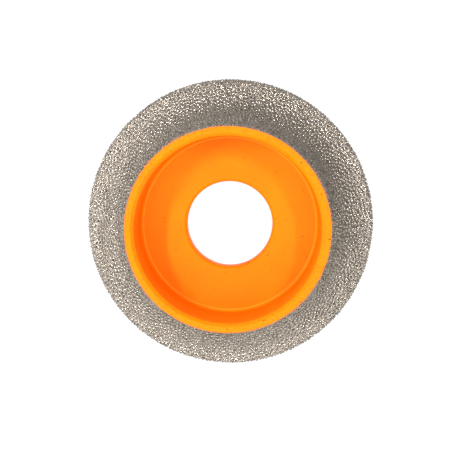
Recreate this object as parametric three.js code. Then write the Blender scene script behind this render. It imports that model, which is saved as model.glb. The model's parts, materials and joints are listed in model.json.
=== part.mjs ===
// Diamond profile wheel: a turned steel cup body whose outside carries a brazed layer of diamond grit.
// Millimetres, +Z up along the wheel's axis. The origin is the centre of the back face, which is the
// face turned towards the machine, and the cup's pocket opens towards +Z.
import * as THREE from "three";

// Overall shape, measured over the grit
const WHEEL_DIAMETER = 75;
const EDGE_HEIGHT = 5; // the flange's cylindrical edge, its rounded corner included
const EDGE_CORNER_RADIUS = 0.8;
const COVE_RADIUS = 10.8; // the hollow quarter round, which grinds a round edge of this radius
const WAIST_LENGTH = 9.2; // straight stretch from the cove up to the rim

// Abrasive layers
const BRAZE_THICKNESS = 0.3;
const GRIT_STANDOUT = 0.25; // how far the grains stand out of the braze

// Cup pocket, inside the waist
const WALL_THICKNESS = 2.2; // steel between the pocket and the braze
const WEB_THICKNESS = 5; // the disc between the pocket and the back recess
const POCKET_FILLET = 1;
const MOUTH_CHAMFER = 0.8;

// Arbor bore and back recess
const BORE_DIAMETER = 22.23; // standard 7/8 inch arbor
const BORE_CHAMFER = 0.6;
const RECESS_DIAMETER = 48; // clears the machine's backing flange
const RECESS_DEPTH = 3;
const RECESS_CHAMFER = 0.5;

// Fineness of the turned surfaces
const TURN_SEGMENTS = 64;
const COVE_STEPS = 8;
const CORNER_STEPS = 3;

// Sizes that follow from those above
const COAT_THICKNESS = BRAZE_THICKNESS + GRIT_STANDOUT;
const WHEEL_HEIGHT = EDGE_HEIGHT + COVE_RADIUS + WAIST_LENGTH;
const COVE_CENTRE_RADIUS = WHEEL_DIAMETER / 2 - EDGE_CORNER_RADIUS;
const WAIST_RADIUS = COVE_CENTRE_RADIUS - COVE_RADIUS;
const POCKET_RADIUS = WAIST_RADIUS - COAT_THICKNESS - WALL_THICKNESS;
const POCKET_FLOOR = RECESS_DEPTH + WEB_THICKNESS;
const BORE_RADIUS = BORE_DIAMETER / 2;

// Points of a circular arc in the section plane, x the distance from the axis and y the height.
function arc(centreX, centreY, radius, startDegrees, endDegrees, steps) {
  return Array.from({ length: steps + 1 }, (_, i) => {
    const angle = THREE.MathUtils.degToRad(
      startDegrees + ((endDegrees - startDegrees) * i) / steps,
    );
    return new THREE.Vector2(
      centreX + radius * Math.cos(angle),
      centreY + radius * Math.sin(angle),
    );
  });
}

// The working outline from the back face up to the rim, a given depth below the tips of the grit.
// Every layer of the wheel is bounded by this outline at two depths, so neighbours share its points.
function workingOutline(depth) {
  const cornerRadius = EDGE_CORNER_RADIUS - depth;
  const cornerY = EDGE_HEIGHT - EDGE_CORNER_RADIUS;
  return [
    new THREE.Vector2(WHEEL_DIAMETER / 2 - depth, 0),
    ...arc(COVE_CENTRE_RADIUS, cornerY, cornerRadius, 0, 90, CORNER_STEPS),
    ...arc(COVE_CENTRE_RADIUS, EDGE_HEIGHT + COVE_RADIUS, COVE_RADIUS + depth, 270, 180, COVE_STEPS).slice(1),
    new THREE.Vector2(WAIST_RADIUS - depth, WHEEL_HEIGHT),
  ];
}

// A solid of revolution about +Z from a closed section, given anticlockwise in the section plane.
function turned(name, section, material) {
  const geometry = new THREE.LatheGeometry([...section, section[0]], TURN_SEGMENTS);
  geometry.rotateX(Math.PI / 2);
  const mesh = new THREE.Mesh(geometry, material);
  mesh.name = name;
  return mesh;
}

// The turned steel body: working outline, rim face, pocket, bore and back recess.
function steelBody() {
  const recessRadius = RECESS_DIAMETER / 2;
  const section = [
    ...workingOutline(COAT_THICKNESS),
    new THREE.Vector2(POCKET_RADIUS + MOUTH_CHAMFER, WHEEL_HEIGHT),
    new THREE.Vector2(POCKET_RADIUS, WHEEL_HEIGHT - MOUTH_CHAMFER),
    ...arc(POCKET_RADIUS - POCKET_FILLET, POCKET_FLOOR + POCKET_FILLET, POCKET_FILLET, 0, -90, CORNER_STEPS),
    new THREE.Vector2(BORE_RADIUS + BORE_CHAMFER, POCKET_FLOOR),
    new THREE.Vector2(BORE_RADIUS, POCKET_FLOOR - BORE_CHAMFER),
    new THREE.Vector2(BORE_RADIUS, RECESS_DEPTH + BORE_CHAMFER),
    new THREE.Vector2(BORE_RADIUS + BORE_CHAMFER, RECESS_DEPTH),
    new THREE.Vector2(recessRadius, RECESS_DEPTH),
    new THREE.Vector2(recessRadius, RECESS_CHAMFER),
    new THREE.Vector2(recessRadius + RECESS_CHAMFER, 0),
  ];
  const paint = new THREE.MeshStandardMaterial({ color: 0xfb8a1e, roughness: 0.45, metalness: 0 });
  return turned("steel_body", section, paint);
}

// One layer of the abrasive coat, between two depths below the tips of the grit.
function coatLayer(name, outerDepth, innerDepth, material) {
  const section = [...workingOutline(outerDepth), ...workingOutline(innerDepth).reverse()];
  return turned(name, section, material);
}

// The nickel braze that wets the steel and holds the grains.
function brazeLayer() {
  const braze = new THREE.MeshStandardMaterial({ color: 0x9c958c, roughness: 0.4, metalness: 0.9 });
  return coatLayer("braze_layer", GRIT_STANDOUT, COAT_THICKNESS, braze);
}

// The envelope of the single layer of grains, from the braze out to their tips.
function diamondGrit() {
  const grit = new THREE.MeshStandardMaterial({ color: 0xb5ada0, roughness: 0.7, metalness: 0.3 });
  return coatLayer("diamond_grit", 0, GRIT_STANDOUT, grit);
}

const wheel = new THREE.Group();
wheel.name = "diamond_profile_wheel";
wheel.add(steelBody(), brazeLayer(), diamondGrit());

export default wheel;
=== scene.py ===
# %% [markdown]
# # A diamond profile wheel
# This wheel grinds a round edge on stone. It is one turned steel cup, painted orange, whose outside
# carries a single layer of diamond grains held by braze. The lesson mixes the enamel, turns the body,
# scatters the seats of the grains, flows the braze round them and sets a grain on each. Lengths are
# metres, and `MM` turns a size in millimetres into metres.

# %% Load the fixed frame
import json
import math
import random
from itertools import permutations, product
import bmesh
import bpy
from mathutils import Matrix, Vector

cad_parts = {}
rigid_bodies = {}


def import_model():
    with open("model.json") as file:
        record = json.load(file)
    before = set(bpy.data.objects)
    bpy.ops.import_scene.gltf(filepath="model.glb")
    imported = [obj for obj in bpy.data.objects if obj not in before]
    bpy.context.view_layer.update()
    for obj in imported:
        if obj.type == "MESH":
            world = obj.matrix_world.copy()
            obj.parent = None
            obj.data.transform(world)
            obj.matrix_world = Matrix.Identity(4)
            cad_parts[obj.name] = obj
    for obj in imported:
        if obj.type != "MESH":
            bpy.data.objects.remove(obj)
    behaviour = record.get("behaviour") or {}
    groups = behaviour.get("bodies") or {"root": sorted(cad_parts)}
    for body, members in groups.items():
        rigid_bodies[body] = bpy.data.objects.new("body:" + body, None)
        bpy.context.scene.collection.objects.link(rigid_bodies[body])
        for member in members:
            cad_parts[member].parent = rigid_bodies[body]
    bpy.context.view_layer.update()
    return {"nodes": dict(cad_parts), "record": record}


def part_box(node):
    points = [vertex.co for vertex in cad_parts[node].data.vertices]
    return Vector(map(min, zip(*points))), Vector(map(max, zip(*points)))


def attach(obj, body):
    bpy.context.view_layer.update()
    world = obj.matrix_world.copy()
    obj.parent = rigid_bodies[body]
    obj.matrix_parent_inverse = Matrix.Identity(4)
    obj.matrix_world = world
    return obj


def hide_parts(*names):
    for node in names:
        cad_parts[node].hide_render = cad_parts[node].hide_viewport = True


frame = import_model()
MM = 0.001
print("frame nodes:", ", ".join(frame["nodes"]))

# %% [markdown]
# ## Camera
# The wheel stands on its back face and is seen from almost straight above, so the camera hangs over
# it and leans a few degrees. A shorter lens moved nearer would frame the wheel just as well, but the
# pocket would then show more of its wall, so lens and distance are set together.

# %% Make the camera
LENS = 90.4
CAMERA_DISTANCE = 300 * MM
LEAN = math.radians(5.5)
LEAN_TOWARDS = Vector((0.31, 0.95, 0)).normalized()
SENSOR_WIDTH = 36
EDGE_MIDDLE = Vector((0, 0, 2.5 * MM))
AIM_OFFSET = Vector((-1.12 * MM, -1.04 * MM, 0))


def facing(sight):
    """The turn that points an object's own Z along sight, with its own Y as near as can be to +Y."""
    back = Vector(sight).normalized()
    right = Vector((0, 1, 0)).cross(back).normalized()
    return Matrix((right, back.cross(right), back)).transposed().to_euler()


def make_camera():
    data = bpy.data.cameras.new("camera")
    data.lens = LENS
    data.sensor_width = SENSOR_WIDTH
    data.clip_start = 1 * MM
    camera = bpy.data.objects.new("camera", data)
    bpy.context.scene.collection.objects.link(camera)
    bpy.context.scene.camera = camera
    towards = LEAN_TOWARDS * math.sin(LEAN) + Vector((0, 0, math.cos(LEAN)))
    aim = EDGE_MIDDLE + AIM_OFFSET
    camera.location = EDGE_MIDDLE + towards * CAMERA_DISTANCE
    camera.rotation_euler = facing(camera.location - aim)
    return camera


camera = make_camera()
print("camera at", tuple(round(x / MM) for x in camera.location), "mm")

# %% [markdown]
# ## Sizes
# The outline is the same one the turning was designed from. The radii over steel, braze and grit come
# from the frame's own boxes, and the two faces of the web from its mounts, so the looks can't drift
# from the part. The sizes that no box or mount gives, such as the cove and the corners, are named here.

# %% Read and name the sizes
TIP_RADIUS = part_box("diamond_grit")[1][0]
BRAZE_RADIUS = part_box("braze_layer")[1][0]
STEEL_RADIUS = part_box("steel_body")[1][0]
RIM_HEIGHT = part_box("steel_body")[1][2]
MOUNT_HEIGHT = {m["name"]: m["pos_m"][2] for m in frame["record"]["mounts"]}
WEB_BACK = MOUNT_HEIGHT["backing_flange_seat"]
POCKET_FLOOR = MOUNT_HEIGHT["lock_nut_seat"]
GRIT_STANDOUT = TIP_RADIUS - BRAZE_RADIUS
COAT = TIP_RADIUS - STEEL_RADIUS

EDGE_HEIGHT = 5 * MM
EDGE_CORNER = 0.8 * MM
COVE_RADIUS = 10.8 * MM
COVE_CENTRE = TIP_RADIUS - EDGE_CORNER
WAIST_RADIUS = COVE_CENTRE - COVE_RADIUS
WALL_THICKNESS = 2.2 * MM
POCKET_RADIUS = WAIST_RADIUS - COAT - WALL_THICKNESS
POCKET_FILLET = 1 * MM
MOUTH_CHAMFER = 0.8 * MM
BORE_RADIUS = 22.23 / 2 * MM
BORE_CHAMFER = 0.6 * MM
RECESS_RADIUS = 24 * MM
RECESS_CHAMFER = 0.5 * MM
PAINT_ROUNDING = 0.16 * MM
print(f"wheel {2 * TIP_RADIUS / MM:.1f} mm across, waist {2 * WAIST_RADIUS / MM:.1f} mm")

# %% [markdown]
# ## Node trees as sums
# A material or a geometry tree is a lot of small nodes. `Wire` wraps one output socket, so that
# `1 - mask` adds the Math node it means, and `Nodes.add` makes every other kind of node from its type,
# its settings and its inputs. The same two classes serve materials and geometry.

# %% Wrap sockets for plain expressions
class Wire:
    """One output socket, with numbers summed as a Python expression."""

    def __init__(self, nodes, socket):
        self.nodes = nodes
        self.socket = socket

    def out(self, name):
        return Wire(self.nodes, self.socket.node.outputs[name])

    def maths(self, operation, first, second):
        return self.nodes.add("ShaderNodeMath", {"operation": operation}, {0: first, 1: second})

    def __add__(self, other):
        return self.maths("ADD", self, other)

    def __sub__(self, other):
        return self.maths("SUBTRACT", self, other)

    def __rsub__(self, other):
        return self.maths("SUBTRACT", other, self)

    def __mul__(self, other):
        return self.maths("MULTIPLY", self, other)

    def __truediv__(self, other):
        return self.maths("DIVIDE", self, other)

    def __rtruediv__(self, other):
        return self.maths("DIVIDE", other, self)

    def __gt__(self, other):
        return self.maths("GREATER_THAN", self, other)

    def __lt__(self, other):
        return self.maths("LESS_THAN", self, other)

    __radd__ = __add__
    __rmul__ = __mul__

    def power(self, exponent):
        return self.maths("POWER", self, exponent)

    def rise(self, start, end):
        """0 at start and 1 at end, with soft shoulders; start may be the larger."""
        settings = {"interpolation_type": "SMOOTHSTEP"}
        inputs = {"Value": self, "From Min": start, "From Max": end}
        return self.nodes.add("ShaderNodeMapRange", settings, inputs)


class Nodes:
    """A node tree that is filled from Python, for a material or for a mesh."""

    def __init__(self, tree):
        self.tree = tree

    def add(self, kind, settings=None, inputs=None):
        """A node with its settings made first and its inputs filled; gives its first output."""
        node = self.tree.nodes.new(kind)
        for name, value in (settings or {}).items():
            setattr(node, name, value)
        for key, value in (inputs or {}).items():
            socket = node.inputs[key]
            if isinstance(value, Wire):
                self.tree.links.new(value.socket, socket)
            else:
                socket.default_value = value
        return Wire(self, node.outputs[0]) if node.outputs else node


# %% [markdown]
# ## Growing a mesh with Geometry Nodes
# Each tree starts from a mesh and a few named sizes and ends in Realize Instances and Set Material, so
# that what comes out is a plain mesh. `grow` runs a tree once and keeps only its result.

# %% Helpers to build and run a geometry tree
SOCKET_KINDS = {int: "NodeSocketInt", float: "NodeSocketFloat", bpy.types.Object: "NodeSocketObject"}


def geometry_tree(name, sizes):
    """A tree with a Geometry input and one named input for each size; gives its Nodes and its wires."""
    tree = bpy.data.node_groups.new(name, "GeometryNodeTree")
    tree.interface.new_socket("Geometry", in_out="INPUT", socket_type="NodeSocketGeometry")
    for size, kind in sizes.items():
        tree.interface.new_socket(size, in_out="INPUT", socket_type=SOCKET_KINDS[kind])
    tree.interface.new_socket("Material", in_out="INPUT", socket_type="NodeSocketMaterial")
    tree.interface.new_socket("Geometry", in_out="OUTPUT", socket_type="NodeSocketGeometry")
    nodes = Nodes(tree)
    start = nodes.add("NodeGroupInput")
    return nodes, {name: start.out(name) for name in ("Geometry", *sizes, "Material")}


def close_tree(nodes, wires, geometry):
    """Makes copies real, gives them their material and ends the tree."""
    whole = nodes.add("GeometryNodeRealizeInstances", inputs={"Geometry": geometry})
    dressed = nodes.add("GeometryNodeSetMaterial", inputs={"Geometry": whole, "Material": wires["Material"]})
    nodes.add("NodeGroupOutput", inputs={"Geometry": dressed})
    return nodes.tree


def grow(name, mesh, tree, **inputs):
    """Runs the tree on the mesh with its inputs given by name, and returns the plain result."""
    source = bpy.data.objects.new(name + "_source", mesh)
    bpy.context.scene.collection.objects.link(source)
    modifier = source.modifiers.new("grow", "NODES")
    modifier.node_group = tree
    named = {item.name: item.identifier for item in tree.interface.items_tree if item.in_out == "INPUT"}
    for key, value in inputs.items():
        modifier[named[key]] = value
    bpy.context.view_layer.update()
    graph = bpy.context.evaluated_depsgraph_get()
    result = bpy.data.meshes.new_from_object(source.evaluated_get(graph), depsgraph=graph)
    result.name = name
    source.modifiers.remove(modifier)
    bpy.data.objects.remove(source)
    piece = bpy.data.objects.new(name, result)
    bpy.context.scene.collection.objects.link(piece)
    return piece


def triangles(piece):
    return sum(len(face.vertices) - 2 for face in piece.data.polygons)


# %% [markdown]
# ## Finishes
# Every finish is worked out in millimetres from the piece's own Object coordinates, so a pattern keeps
# its real size. `surface` gives the start that each one shares, an empty material and the place on the
# wheel, and `finish_with` closes it with a Principled shader.

# %% Start a finish
def surface(name):
    material = bpy.data.materials.new(name)
    material.use_nodes = True
    material.node_tree.nodes.clear()
    nodes = Nodes(material.node_tree)
    place = nodes.add("ShaderNodeTexCoord").out("Object")
    place = nodes.add("ShaderNodeVectorMath", {"operation": "SCALE"}, {0: place, "Scale": 1 / MM})
    return material, nodes, place


def parts_of(nodes, vector):
    """The three numbers of a vector."""
    split = nodes.add("ShaderNodeSeparateXYZ", inputs={0: vector})
    return split, split.out("Y"), split.out("Z")


def noise(nodes, place, scale, detail=2.0):
    """Soft random patches from 0 to 1, about as many to the millimetre as the scale says."""
    inputs = {"Vector": place, "Scale": scale, "Detail": detail}
    return nodes.add("ShaderNodeTexNoise", {"normalize": True}, inputs)


def blend(nodes, mask, first, second):
    """A colour that goes from first to second as the mask goes from 0 to 1.

    The Mix node takes its two colours on inputs 6 and 7, and gives the blend on output 2."""
    settings = {"data_type": "RGBA", "clamp_factor": True}
    mix = nodes.add("ShaderNodeMix", settings, {0: mask, 6: first, 7: second})
    return Wire(nodes, mix.socket.node.outputs[2])


def bump(nodes, height, depth, strength=1.0, normal=None):
    """Raised detail, its height from 0 to 1 standing for a depth in millimetres."""
    inputs = {"Height": height, "Distance": depth * MM, "Strength": strength}
    if normal:
        inputs["Normal"] = normal
    return nodes.add("ShaderNodeBump", inputs=inputs)


def finish_with(material, nodes, constants, **driven):
    """Closes a finish: numbers go on the shader's own sockets, wires vary over the surface."""
    inputs = {name.replace("_", " "): wire for name, wire in driven.items()}
    shader = nodes.add("ShaderNodeBsdfPrincipled", {}, {**constants, **inputs})
    nodes.add("ShaderNodeOutputMaterial", inputs={"Surface": shader})
    return material


# %% [markdown]
# ## Orange enamel
# Sprayed enamel is not one flat orange. It is a little thinner and redder here and there, it has the
# faint dimples called orange peel, the lathe's rings show through it very softly, and a few specks of
# dust are caught in it. The rim, where the wheel gets knocked, is scuffed. A lighter band along the
# foot of the pocket wall is a painted highlight, standing in for the light that the fillet catches.
# All of that is worked out from the place on the wheel, so no image has to be wrapped round it.

# %% Mix the orange enamel
ENAMEL = (0.94, 0.202, 0.001, 1)
ENAMEL_THIN = (0.93, 0.169, 0.0005, 1)
# painted highlight: a lighter enamel for the band along the foot of the pocket wall
ENAMEL_FOOT_HIGHLIGHT = (0.96, 0.30, 0.012, 1)
ENAMEL_SCUFFED = (0.80, 0.14, 0.004, 1)
ENAMEL_SPECK = (0.09, 0.022, 0.001, 1)
RIM = RIM_HEIGHT / MM
FOOT_RADIUS = (POCKET_RADIUS - POCKET_FILLET * 0.75) / MM
FOOT_WIDTH = 0.24
FOOT_TOP = (POCKET_FLOOR + POCKET_FILLET) / MM
SCUFF_DEPTH = 1.0
SPECK_SHARE = 0.1
SPECK_RADIUS = 0.09
SPECK_SPREAD = 0.12
SPECK_RELIEF = 0.04
RING_TURN = 17.0
RING_WOBBLE = 0.6
RING_RELIEF = 0.006
PEEL_RELIEF = 0.05
ENAMEL_ROUGHNESS = 0.36
ENAMEL_GLOSS = {"IOR": 1.45, "Specular IOR Level": 0.07}


def enamel_colour(nodes, place):
    """Two oranges, mixed in broad clouds and in a fine mottle."""
    cloud = noise(nodes, place, 0.12, 3.0).rise(0.35, 0.7)
    mottle = noise(nodes, place, 1.9).rise(0.35, 0.7) * 0.5
    return blend(nodes, cloud * 0.4 + mottle, ENAMEL, ENAMEL_THIN)


def dust_specks(nodes, place):
    """1 on a round speck in one cell out of ten, each speck with a size of its own."""
    cells = nodes.add("ShaderNodeTexVoronoi", {"feature": "F1"}, {"Vector": place, "Scale": 1.0})
    luck, growth, _ = parts_of(nodes, cells.out("Color"))
    chosen = luck > 1 - SPECK_SHARE
    return chosen * (cells.out("Distance") < growth * SPECK_SPREAD + SPECK_RADIUS)


def lathe_rings(nodes, place, radius):
    """Rings about a third of a millimetre apart, from 0 to 1, that wander a little."""
    wobble = noise(nodes, place, 0.25) * RING_WOBBLE
    turns = (radius + wobble) * RING_TURN
    return nodes.add("ShaderNodeMath", {"operation": "SINE"}, {0: turns}) * 0.5 + 0.5


def enamel():
    material, nodes, place = surface("orange_enamel")
    x, y, z = parts_of(nodes, place)
    radius = (x * x + y * y).power(0.5)
    speck = dust_specks(nodes, place)
    # painted highlight: a lighter band along the foot of the pocket wall, in place of the light the fillet
    # catches
    inner = radius.rise(FOOT_RADIUS - FOOT_WIDTH, FOOT_RADIUS)
    outer = radius.rise(FOOT_RADIUS + FOOT_WIDTH, FOOT_RADIUS)
    foot_highlight = inner * outer * (z < FOOT_TOP)
    colour = blend(nodes, foot_highlight, enamel_colour(nodes, place), ENAMEL_FOOT_HIGHLIGHT)
    scuffs = noise(nodes, place, 2.3).rise(0.52, 0.68) * z.rise(RIM - SCUFF_DEPTH, RIM - SCUFF_DEPTH * 0.3)
    colour = blend(nodes, scuffs, colour, ENAMEL_SCUFFED)
    colour = blend(nodes, speck, colour, ENAMEL_SPECK)
    grained = bump(nodes, noise(nodes, place, 1.1), PEEL_RELIEF, 0.8)
    ringed = bump(nodes, lathe_rings(nodes, place, radius), RING_RELIEF, 0.5, grained)
    raised = bump(nodes, speck, SPECK_RELIEF, 1.0, ringed)
    rough = noise(nodes, place, 0.5, 3.0) * 0.16 + ENAMEL_ROUGHNESS
    return finish_with(material, nodes, ENAMEL_GLOSS, Base_Color=colour, Roughness=rough, Normal=raised)


ORANGE_ENAMEL = enamel()
print("finish:", ORANGE_ENAMEL.name)

# %% [markdown]
# ## Turning
# Everything on this wheel is round, so one tree turns every section: it makes a grid with a column for
# each section point and a row for each step round the axis, and places each grid point by its section
# point and its angle. The Screw modifier or a lathe in mesh code would do as well. The tree was chosen
# because it also carries each section point's outward direction round with it, which the braze needs.

# %% Build the turning tree
SEAM_GAP = 0.0005 * MM
CREASE = math.radians(28)


def turning_tree():
    nodes, wires = geometry_tree("turning", {"Steps": int})
    section = wires["Geometry"]
    rows = wires["Steps"] + 1
    size = nodes.add("GeometryNodeAttributeDomainSize", inputs={"Geometry": section})
    grid = nodes.add("GeometryNodeMeshGrid", inputs={"Vertices X": size, "Vertices Y": rows})
    index = nodes.add("GeometryNodeInputIndex")
    column = nodes.add("ShaderNodeMath", {"operation": "FLOOR"}, {0: (index + 0.5) / rows})
    angle = (index - column * rows) / wires["Steps"] * math.tau

    def carried(field):
        """A vector of the section point, swung round the axis by this grid point's angle."""
        picked = nodes.add(
            "GeometryNodeSampleIndex",
            {"data_type": "FLOAT_VECTOR", "clamp": True},
            {"Geometry": section, "Value": field, "Index": column},
        )
        settings = {"rotation_type": "Z_AXIS"}
        return nodes.add("ShaderNodeVectorRotate", settings, {"Vector": picked, "Angle": angle})

    outward = nodes.add("GeometryNodeInputNamedAttribute", {"data_type": "FLOAT_VECTOR"}, {"Name": "outward"})
    place = carried(nodes.add("GeometryNodeInputPosition"))
    turned = nodes.add("GeometryNodeSetPosition", inputs={"Geometry": grid, "Position": place})
    turned = nodes.add(
        "GeometryNodeStoreNamedAttribute",
        {"data_type": "FLOAT_VECTOR", "domain": "POINT"},
        {"Geometry": turned, "Name": "outward", "Value": carried(outward)},
    )
    closed = nodes.add("GeometryNodeMergeByDistance", inputs={"Geometry": turned, "Distance": SEAM_GAP})
    facing_out = nodes.add("GeometryNodeFlipFaces", inputs={"Mesh": closed})
    smooth = nodes.add("GeometryNodeSetShadeSmooth", {"domain": "FACE"}, {"Geometry": facing_out})
    sharp = nodes.add("GeometryNodeInputMeshEdgeAngle") > CREASE
    hard = {"Geometry": smooth, "Selection": sharp, "Shade Smooth": False}
    creased = nodes.add("GeometryNodeSetShadeSmooth", {"domain": "EDGE"}, hard)
    return close_tree(nodes, wires, creased)


TURNING = turning_tree()
print("turning tree:", len(TURNING.nodes), "nodes")

# %% [markdown]
# A section is a row of points in the plane that holds the axis, x away from the axis and z up it. The
# working outline has three zones, the cylindrical edge, the cove and the waist. Every layer of the coat
# follows it at its own depth below the tips of the grit.

# %% Draw the working outline
def arc(centre_x, centre_y, radius, start, end, steps):
    """Points of a circular arc in the section plane, with angles in degrees."""
    angles = [math.radians(start + (end - start) * i / steps) for i in range(steps + 1)]
    return [(centre_x + radius * math.cos(a), centre_y + radius * math.sin(a)) for a in angles]


def section_mesh(points, outward=None):
    """An ordered row of section points, x from the axis and z up, each with the way it faces."""
    mesh = bpy.data.meshes.new("section")
    mesh.from_pydata([(x, 0, z) for x, z in points], [], [])
    facing = mesh.attributes.new("outward", "FLOAT_VECTOR", "POINT")
    for item, (x, z) in zip(facing.data, outward or [(0, 0)] * len(points)):
        item.vector = (x, 0, z)
    return mesh


def outline_zones(depth, cove_steps, edge_steps=1, waist_steps=1, corner_steps=4):
    """The working outline a given depth below the grit's tips, as edge, cove and waist, bottom to top.

    Each zone is a list of points and a list of the ways they face, and neighbours share their ends."""
    corner_height = EDGE_HEIGHT - EDGE_CORNER
    cove_height = EDGE_HEIGHT + COVE_RADIUS
    rise = (RIM_HEIGHT - cove_height) / waist_steps
    edge = [(TIP_RADIUS - depth, corner_height * i / edge_steps) for i in range(edge_steps)]
    edge += arc(COVE_CENTRE, corner_height, EDGE_CORNER - depth, 0, 90, corner_steps)
    edge_facing = [(1, 0)] * edge_steps + arc(0, 0, 1, 0, 90, corner_steps)
    cove = arc(COVE_CENTRE, cove_height, COVE_RADIUS + depth, 270, 180, cove_steps)
    cove_facing = arc(0, 0, 1, 90, 0, cove_steps)
    waist = [(WAIST_RADIUS - depth, cove_height + rise * i) for i in range(waist_steps + 1)]
    waist_facing = [(1, 0)] * (waist_steps + 1)
    return {"edge": (edge, edge_facing), "cove": (cove, cove_facing), "waist": (waist, waist_facing)}


def working_outline(depth, cove_steps):
    """The three zones joined into one row of points."""
    edge, cove, waist = outline_zones(depth, cove_steps).values()
    return edge[0] + cove[0][1:] + waist[0][1:], edge[1] + cove[1][1:] + waist[1][1:]


radii = [x / MM for x, _ in working_outline(0, 8)[0]]
print(f"outline radius {radii[0]:.1f} mm at the back, {radii[-1]:.1f} mm at the rim")

# %% [markdown]
# ## Painted body
# The body is a steel turning under a coat of sprayed orange enamel. Paint rounds every corner over, so
# the section is drawn with sharp corners first and each one is then replaced by a short curve.

# %% Turn the painted body
BODY_STEPS = 320
BODY_COVE_STEPS = 24
CLEAR_CORNER = math.radians(20)
LONGEST_REACH = 0.45


def eased(points, radius, steps=4):
    """A closed outline with each of its clear corners replaced by a short curve."""
    result = []
    for i, corner in enumerate(points):
        before, here, after = (Vector(p) for p in (points[i - 1], corner, points[(i + 1) % len(points)]))
        back, ahead = before - here, after - here
        turn = math.pi - back.angle(ahead)
        if turn < CLEAR_CORNER:
            result.append(tuple(here))
            continue
        reach = min(radius, back.length * LONGEST_REACH, ahead.length * LONGEST_REACH)
        start, end = here + back.normalized() * reach, here + ahead.normalized() * reach
        for k in range(steps + 1):
            t = k / steps
            result.append(tuple(start * (1 - t) ** 2 + here * (2 * t * (1 - t)) + end * t ** 2))
    return result


def body_section():
    outside, _ = working_outline(COAT, BODY_COVE_STEPS)
    pocket = [
        (POCKET_RADIUS + MOUTH_CHAMFER, RIM_HEIGHT),
        (POCKET_RADIUS, RIM_HEIGHT - MOUTH_CHAMFER),
        *arc(POCKET_RADIUS - POCKET_FILLET, POCKET_FLOOR + POCKET_FILLET, POCKET_FILLET, 0, -90, 8),
    ]
    bore = [
        (BORE_RADIUS + BORE_CHAMFER, POCKET_FLOOR),
        (BORE_RADIUS, POCKET_FLOOR - BORE_CHAMFER),
        (BORE_RADIUS, WEB_BACK + BORE_CHAMFER),
        (BORE_RADIUS + BORE_CHAMFER, WEB_BACK),
    ]
    recess = [
        (RECESS_RADIUS, WEB_BACK),
        (RECESS_RADIUS, RECESS_CHAMFER),
        (RECESS_RADIUS + RECESS_CHAMFER, 0),
    ]
    closed = eased(outside + pocket + bore + recess, PAINT_ROUNDING)
    return closed + closed[:1]


section = section_mesh(body_section())
painted_body = grow("painted_body", section, TURNING, Steps=BODY_STEPS, Material=ORANGE_ENAMEL)
print("painted body:", triangles(painted_body), "triangles")

# %% [markdown]
# ## Where the grains sit
# The grains were sprinkled on wet paste, so they lie in no rows but keep their distance from one
# another. Poisson disk scattering gives just that. The seats are kept as bare points, because both the
# grains and the braze that climbs round them are made from the same ones.

# %% Scatter the grain seats over the coat
GRAIN_SPACING = 0.78 * MM
GRAINS_PER_SQUARE_METRE = 12e6
SEAT_MARGIN = 0.42 * MM
SEAT_TURN_STEPS = 360
SEAT_COVE_STEPS = 40
SEAT_SEED = 7


def seats_tree():
    nodes, wires = geometry_tree("grain_seats", {"Spacing": float, "Density": float, "Seed": int})
    scatter = nodes.add(
        "GeometryNodeDistributePointsOnFaces",
        {"distribute_method": "POISSON"},
        {
            "Mesh": wires["Geometry"],
            "Distance Min": wires["Spacing"],
            "Density Max": wires["Density"],
            "Seed": wires["Seed"],
        },
    )
    kept = nodes.add(
        "GeometryNodeStoreNamedAttribute",
        {"data_type": "FLOAT_VECTOR", "domain": "POINT"},
        {"Geometry": scatter, "Name": "outward", "Value": scatter.out("Normal")},
    )
    points = nodes.add("GeometryNodePointsToVertices", inputs={"Points": kept})
    return close_tree(nodes, wires, points)


def seat_surface():
    """The braze's own surface, kept a margin away from the back face and the rim."""
    points, facing = working_outline(GRIT_STANDOUT, SEAT_COVE_STEPS)
    low, high = SEAT_MARGIN, RIM_HEIGHT - SEAT_MARGIN
    inside = [(x, min(max(z, low), high)) for x, z in points]
    return grow("seat_surface", section_mesh(inside, facing), TURNING, Steps=SEAT_TURN_STEPS)


def scatter_seats():
    ground = seat_surface()
    sizes = {"Spacing": GRAIN_SPACING, "Density": GRAINS_PER_SQUARE_METRE, "Seed": SEAT_SEED}
    scattered = grow("grain_seats", ground.data, seats_tree(), **sizes)
    bpy.data.objects.remove(ground)
    return scattered


seats = scatter_seats()
print(len(seats.data.vertices), "grain seats")

# %% [markdown]
# ## Nickel braze and diamond grains
# Nickel braze freezes to a warm grey metal, smooth enough to glint. Its colour is painted darker down
# in the pits between the grains than up their fillets, as painted shade. The diamonds stand in it as
# darker grains. They are stone, not metal, and each has a tone of its own, from nearly black to as
# light as the braze. Close to the rim both carry a dust of enamel, which breaks up over a few tenths
# of a millimetre.

# %% Mix the braze and grain finishes
# painted shade: the braze colour down in the pits between grains is darker than up the fillets
BRAZE_PIT_SHADE_COLOUR = (0.205, 0.177, 0.148, 1)
BRAZE_FILLET_COLOUR = (0.335, 0.295, 0.247, 1)
GRAIN_DARK = (0.025, 0.0215, 0.0175, 1)
GRAIN_LIGHT = (0.29, 0.255, 0.216, 1)
OVERSPRAY_COLOUR = (0.50, 0.135, 0.012, 1)
OVERSPRAY_DEPTH = 0.45
OVERSPRAY_RAGGED = 0.5
OVERSPRAY_COVER = 0.9
BRAZE_ROUGHNESS = 0.11
BRAZE_METALLIC = 0.8
RIPPLE_RELIEF = 0.06
GRAIN_ROUGHNESS = 0.22
GRAIN_GLOSS = {"IOR": 1.6, "Specular IOR Level": 0.3}
GRAIN_RELIEF = 0.06


def overspray(nodes, place):
    """Close to full on the rim and gone a little below it, with a ragged border."""
    height = parts_of(nodes, place)[2]
    ragged = height + noise(nodes, place, 2.6) * OVERSPRAY_RAGGED - OVERSPRAY_RAGGED / 2
    return ragged.rise(RIM - OVERSPRAY_DEPTH, RIM - OVERSPRAY_DEPTH / 2) * OVERSPRAY_COVER


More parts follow.
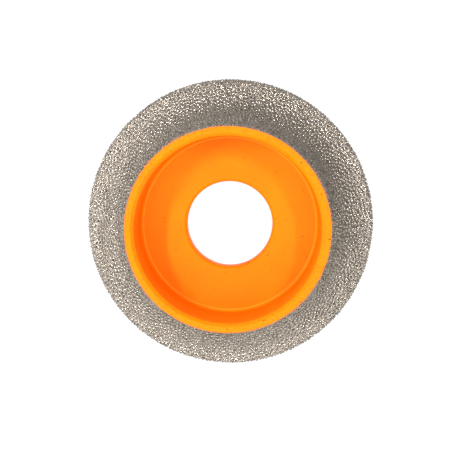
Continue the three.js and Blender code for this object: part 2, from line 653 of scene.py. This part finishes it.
def braze_finish():
    material, nodes, place = surface("nickel_braze")
    climb = nodes.add("ShaderNodeAttribute", {"attribute_name": "climb"}).out("Fac")
    stain = noise(nodes, place, 2.2, 3.0)
    # painted shade: the braze is darker where it lies low between the grains and lighter up the fillets
    metal = blend(nodes, climb * 0.8 + stain * 0.4 - 0.1, BRAZE_PIT_SHADE_COLOUR, BRAZE_FILLET_COLOUR)
    sprayed = overspray(nodes, place)
    colour = blend(nodes, sprayed, metal, OVERSPRAY_COLOUR)
    dull = noise(nodes, place, 0.22).rise(0.4, 0.6) * 0.08
    rough = noise(nodes, place, 3.0) * 0.2 + BRAZE_ROUGHNESS + dull + sprayed * 0.25
    ripple = bump(nodes, noise(nodes, place, 2.4), RIPPLE_RELIEF, 0.8)
    metallic = (1 - sprayed) * BRAZE_METALLIC
    return finish_with(
        material, nodes, {}, Base_Color=colour, Metallic=metallic, Roughness=rough, Normal=ripple
    )


def grain_finish():
    material, nodes, place = surface("brazed_diamond")
    tone = nodes.add("ShaderNodeAttribute", {"attribute_name": "tone"}).out("Fac")
    film = noise(nodes, place, 2.6)
    colour = blend(nodes, tone * 0.75 + film * 0.5 - 0.12, GRAIN_DARK, GRAIN_LIGHT)
    sprayed = overspray(nodes, place)
    colour = blend(nodes, sprayed, colour, OVERSPRAY_COLOUR)
    rough = film * 0.3 + GRAIN_ROUGHNESS + sprayed * 0.15
    metallic = (tone * 0.2 + 0.05) * (1 - sprayed)
    pitted = bump(nodes, noise(nodes, place, 5.0), GRAIN_RELIEF, 0.6)
    return finish_with(
        material, nodes, GRAIN_GLOSS, Base_Color=colour, Metallic=metallic, Roughness=rough, Normal=pitted
    )


BRAZE_METAL = braze_finish()
GRAIN_STONE = grain_finish()
print("finishes:", BRAZE_METAL.name, "and", GRAIN_STONE.name)

# %% [markdown]
# ## Braze
# The braze was liquid once: it lies thin in the gaps and climbs up every grain in a small fillet. A
# bump map could paint that, but the fillets are what catches the light, so they are real: a fine
# turning of each zone is pushed out along its outward direction by how near the closest grain is. Three
# zones, the cylindrical edge, the cove and the waist, keep each mesh to a handy size.

# %% Flow the braze over the three zones
COAT_STEPS = 960
OUTSIDE_STEPS = {"cove_steps": 88, "edge_steps": 20, "waist_steps": 44, "corner_steps": 6}
INSIDE_COVE_STEPS = 12
BRAZE_CLIMB = 0.15 * MM
BRAZE_PIT = 0.16 * MM
FILLET_FOOT = 0.44 * MM
FILLET_TOP = 0.16 * MM


def braze_tree():
    nodes, wires = geometry_tree(
        "braze", {"Seats": bpy.types.Object, "Climb": float, "Pit": float, "Foot": float, "Top": float}
    )
    seat_points = nodes.add("GeometryNodeObjectInfo", inputs={"Object": wires["Seats"]}).out("Geometry")
    near = nodes.add("GeometryNodeProximity", {"target_element": "POINTS"}, {0: seat_points}).out("Distance")
    climb = near.rise(wires["Foot"], wires["Top"])
    height = climb * (wires["Climb"] + wires["Pit"]) - wires["Pit"]
    outward = nodes.add("GeometryNodeInputNamedAttribute", {"data_type": "FLOAT_VECTOR"}, {"Name": "outward"})
    push = nodes.add("ShaderNodeVectorMath", {"operation": "SCALE"}, {0: outward, "Scale": height})
    flowed = nodes.add("GeometryNodeSetPosition", inputs={"Geometry": wires["Geometry"], "Offset": push})
    marked = nodes.add(
        "GeometryNodeStoreNamedAttribute",
        {"data_type": "FLOAT", "domain": "POINT"},
        {"Geometry": flowed, "Name": "climb", "Value": climb},
    )
    return close_tree(nodes, wires, marked)


def zone_section(zone):
    """The closed section of one zone's braze: finely stepped outside, coarse against the steel."""
    outside, facing = outline_zones(GRIT_STANDOUT, **OUTSIDE_STEPS)[zone]
    inside, _ = outline_zones(COAT, INSIDE_COVE_STEPS)[zone]
    points = outside + inside[::-1] + outside[:1]
    return section_mesh(points, facing + [(0, 0)] * len(inside) + facing[:1])


def flow_braze(zone, tree):
    turned = grow("turned_" + zone, zone_section(zone), TURNING, Steps=COAT_STEPS)
    sizes = {"Climb": BRAZE_CLIMB, "Pit": BRAZE_PIT, "Foot": FILLET_FOOT, "Top": FILLET_TOP}
    piece = grow("braze_" + zone, turned.data, tree, Seats=seats, Material=BRAZE_METAL, **sizes)
    bpy.data.objects.remove(turned)
    return piece


ZONES = ("edge", "cove", "waist")
BRAZE = braze_tree()
braze = {zone: flow_braze(zone, BRAZE) for zone in ZONES}
for zone, piece in braze.items():
    print("braze on the", zone, triangles(piece), "triangles")

# %% [markdown]
# ## Diamond grains
# A synthetic diamond grows as a block between a cube and an octahedron, and crushed ones break into odd
# chunks. Three shapes of a few dozen faces are enough, because every grain is turned, stretched and
# sized at random. Placing six thousand by hand is hopeless and a particle system leaves no plain mesh,
# so a tree puts one on each seat. Each grain also gets a random tone for its finish.

# %% Make the grain shapes
GRAIN_RADIUS = 0.29 * MM
CHUNK_SEED = 5
CHUNK_CORNERS = 14


def crystal(name, corners):
    """The convex block around a few corners, one radius in size."""
    shape = bmesh.new()
    for corner in corners:
        shape.verts.new(Vector(corner).normalized())
    bmesh.ops.convex_hull(shape, input=shape.verts)
    mesh = bpy.data.meshes.new(name)
    shape.to_mesh(mesh)
    shape.free()
    return bpy.data.objects.new(name, mesh)


def signed(numbers):
    """Every order and every sign of three numbers."""
    signs = product((-1, 1), repeat=3)
    return {tuple(a * b for a, b in zip(*pair)) for pair in product(permutations(numbers), signs)}


def chunk_corners(seed, count):
    shaker = random.Random(seed)
    return [[shaker.gauss(0, 1) for _ in range(3)] for _ in range(count)]


shapes = bpy.data.collections.new("grain_shapes")
for shape in (
    crystal("grain_a", sorted(signed((1, 1, 0)))),
    crystal("grain_b", sorted(signed((0, 1, 2)))),
    crystal("grain_c", chunk_corners(CHUNK_SEED, CHUNK_CORNERS)),
):
    shapes.objects.link(shape)
    print(shape.name, triangles(shape), "triangles")

# %% [markdown]
# The tree moves each seat of the cove and the waist a little in or out along its outward direction.
# Then it picks a shape for each seat, turns it any way round, stretches it a little and gives it a tone.

# %% Seat a grain on every point
GRAIN_LIFT = {"edge": 0.0, "cove": 0.05 * MM, "waist": 0.04 * MM}
LIFT_SPREAD = (-1.0, 3.0)
STRETCH_SPREAD = (0.8, 1.2)
SIZE_SPREAD = (0.72, 1.08)
SHAPE_SPREAD = (0, 2.999)
CORNER_SLACK = 0.05 * MM


def grain_tree():
    nodes, wires = geometry_tree("grains", {"Radius": float, "Lift": float, "Seed": int})

    def chance(low, high, step, kind="FLOAT"):
        """A random number or vector for each grain. Both kinds share one node, on other sockets."""
        first = 0 if kind == "FLOAT_VECTOR" else 2
        inputs = {first: low, first + 1: high, "Seed": wires["Seed"] + step}
        node = nodes.add("FunctionNodeRandomValue", {"data_type": kind}, inputs)
        return node if kind == "FLOAT_VECTOR" else Wire(nodes, node.socket.node.outputs[1])

    outward = nodes.add("GeometryNodeInputNamedAttribute", {"data_type": "FLOAT_VECTOR"}, {"Name": "outward"})
    height = wires["Lift"] * chance(*LIFT_SPREAD, 1)
    push = nodes.add("ShaderNodeVectorMath", {"operation": "SCALE"}, {0: outward, "Scale": height})
    lifted = nodes.add("GeometryNodeSetPosition", inputs={"Geometry": wires["Geometry"], "Offset": push})
    picked = {"Collection": shapes, "Separate Children": True, "Reset Children": True}
    blocks = nodes.add("GeometryNodeCollectionInfo", {}, picked)
    stretch = chance(*((edge,) * 3 for edge in STRETCH_SPREAD), 2, "FLOAT_VECTOR")
    size = wires["Radius"] * chance(*SIZE_SPREAD, 3)
    scale = nodes.add("ShaderNodeVectorMath", {"operation": "SCALE"}, {0: stretch, "Scale": size})
    angles = chance((0, 0, 0), (math.tau,) * 3, 4, "FLOAT_VECTOR")
    turn = nodes.add("FunctionNodeEulerToRotation", inputs={0: angles})
    placed = nodes.add(
        "GeometryNodeInstanceOnPoints",
        inputs={
            "Points": lifted,
            "Instance": blocks,
            "Pick Instance": True,
            "Instance Index": chance(*SHAPE_SPREAD, 5),
            "Rotation": turn,
            "Scale": scale,
        },
    )
    toned = nodes.add(
        "GeometryNodeStoreNamedAttribute",
        {"data_type": "FLOAT", "domain": "INSTANCE"},
        {"Geometry": placed, "Name": "tone", "Value": chance(0.0, 1.0, 6)},
    )
    return close_tree(nodes, wires, toned)


def zone_of(place):
    """The zone that a seat belongs to; the edge takes its whole rounded corner."""
    radius = math.hypot(place.x, place.y)
    if radius > COVE_CENTRE - CORNER_SLACK:
        return "edge"
    return "cove" if place.z < EDGE_HEIGHT + COVE_RADIUS else "waist"


def seats_in(zone):
    """The seats of one zone as bare points, each with its outward direction."""
    ways = seats.data.attributes["outward"].data
    chosen = [v for v in seats.data.vertices if zone_of(v.co) == zone]
    mesh = bpy.data.meshes.new("seats_" + zone)
    mesh.from_pydata([v.co for v in chosen], [], [])
    outward = mesh.attributes.new("outward", "FLOAT_VECTOR", "POINT")
    for item, seat in zip(outward.data, chosen):
        item.vector = ways[seat.index].vector
    return mesh


GRAINS = grain_tree()
grains = {}
for seed, zone in enumerate(ZONES):
    sizes = {"Radius": GRAIN_RADIUS, "Lift": GRAIN_LIFT[zone], "Seed": 10 * seed}
    grains[zone] = grow("grains_" + zone, seats_in(zone), GRAINS, Material=GRAIN_STONE, **sizes)
    print("grains on the", zone, triangles(grains[zone]), "triangles")
bpy.data.objects.remove(seats)
for shape in list(shapes.objects):
    bpy.data.objects.remove(shape)
bpy.data.collections.remove(shapes)

# %% [markdown]
# ## Floor
# The wheel lies on a plain white sheet. A sheet lit by lamps alone turns grey towards its corners, so
# this one also glows. It lies a hair below the back face, so that the two don't flicker.

# %% Lay the floor
FLOOR_HALF = 1.5
FLOOR_GAP = 0.05 * MM
FLOOR_SHADES = ((0.12, 0.12, 0.12, 1), (0.14, 0.14, 0.14, 1))
FLOOR_MATT = {"Roughness": 0.9, "Specular IOR Level": 0.1}
FLOOR_GLOW = {"Emission Color": (1, 1, 1, 1), "Emission Strength": 0.9}


def make_floor():
    mesh = bpy.data.meshes.new("floor")
    corners = [(-1, -1), (1, -1), (1, 1), (-1, 1)]
    mesh.from_pydata([(x * FLOOR_HALF, y * FLOOR_HALF, -FLOOR_GAP) for x, y in corners], [], [(0, 1, 2, 3)])
    floor = bpy.data.objects.new("floor", mesh)
    bpy.context.scene.collection.objects.link(floor)
    material, nodes, place = surface("white_floor")
    shade = blend(nodes, noise(nodes, place, 0.02), *FLOOR_SHADES)
    mesh.materials.append(finish_with(material, nodes, {**FLOOR_MATT, **FLOOR_GLOW}, Base_Color=shade))
    return floor


floor = make_floor()
print("floor:", round(2 * FLOOR_HALF, 1), "m square")

# %% [markdown]
# ## Light
# Two narrow bars hang left and right of overhead, with a short one on the far side: they draw the
# shadow edges on the pocket's floor and make the grit glint. A wide box on the near side fills those
# shadows, low ones all round graze the outside, and a pale even world does the rest. Spot lamps were
# the other choice, but they leave hard shadows that a studio doesn't. Each box has a direction from the
# wheel, a width and a length in metres, and a power in watts.

# %% Hang the lights
BOX_DISTANCE = 0.6
WORLD_BRIGHTNESS = 0.48
STUDIO = {
    "left_bar": ((-0.45, 0.20, 1), 0.024, 0.16, 1.88),
    "right_bar": ((0.39, 0.26, 1), 0.018, 0.13, 1.17),
    "far_bar": ((0.05, 0.40, 1), 0.14, 0.03, 0.42),
    "near_box": ((-0.05, -0.50, 1), 0.50, 0.42, 2.20),
    "near_side": ((-0.5, -1.4, 1), 0.44, 0.36, 0.50),
    "left_box": ((-1.9, 0.75, 1), 0.22, 0.22, 0.58),
    "far_low": ((-0.6, 2.8, 1), 0.40, 0.18, 0.45),
    "left_low": ((-3.2, -0.4, 1), 0.18, 0.40, 1.20),
    "near_low": ((0.3, -3.6, 1), 0.40, 0.18, 0.60),
    "right_low": ((2.6, -1.6, 1), 0.20, 0.24, 0.72),
}


def soft_box(name, towards, width, length, power):
    """A rectangular soft box in a direction from the wheel, facing it, its length along Y."""
    data = bpy.data.lights.new(name, "AREA")
    data.shape = "RECTANGLE"
    data.size = width
    data.size_y = length
    data.energy = power
    light = bpy.data.objects.new(name, data)
    light.location = Vector(towards).normalized() * BOX_DISTANCE
    light.rotation_euler = facing(towards)
    bpy.context.scene.collection.objects.link(light)


def set_world(brightness):
    world = bpy.data.worlds.new("studio")
    world.use_nodes = True
    world.node_tree.nodes["Background"].inputs["Color"].default_value = (1, 1, 1, 1)
    world.node_tree.nodes["Background"].inputs["Strength"].default_value = brightness
    bpy.context.scene.world = world


for name, box in STUDIO.items():
    soft_box(name, *box)
set_world(WORLD_BRIGHTNESS)
bpy.context.scene.view_settings.view_transform = "Standard"
print(len(STUDIO), "soft boxes")

# %% [markdown]
# ## Tie the pieces to the part
# The painted body stands for the turned body, and the braze and grain meshes for the two layers of the
# coat. Nothing on a wheel moves by itself, so all of them ride on the one body.

# %% Ride and replace
rides = [(painted_body, "painted_steel", "steel_body")]
rides += [(braze[zone], "nickel_braze", "braze_layer") for zone in ZONES]
rides += [(grains[zone], "diamond_grains", "diamond_grit") for zone in ZONES]
for piece, slot, node in rides:
    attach(piece, "root")
    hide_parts(node)
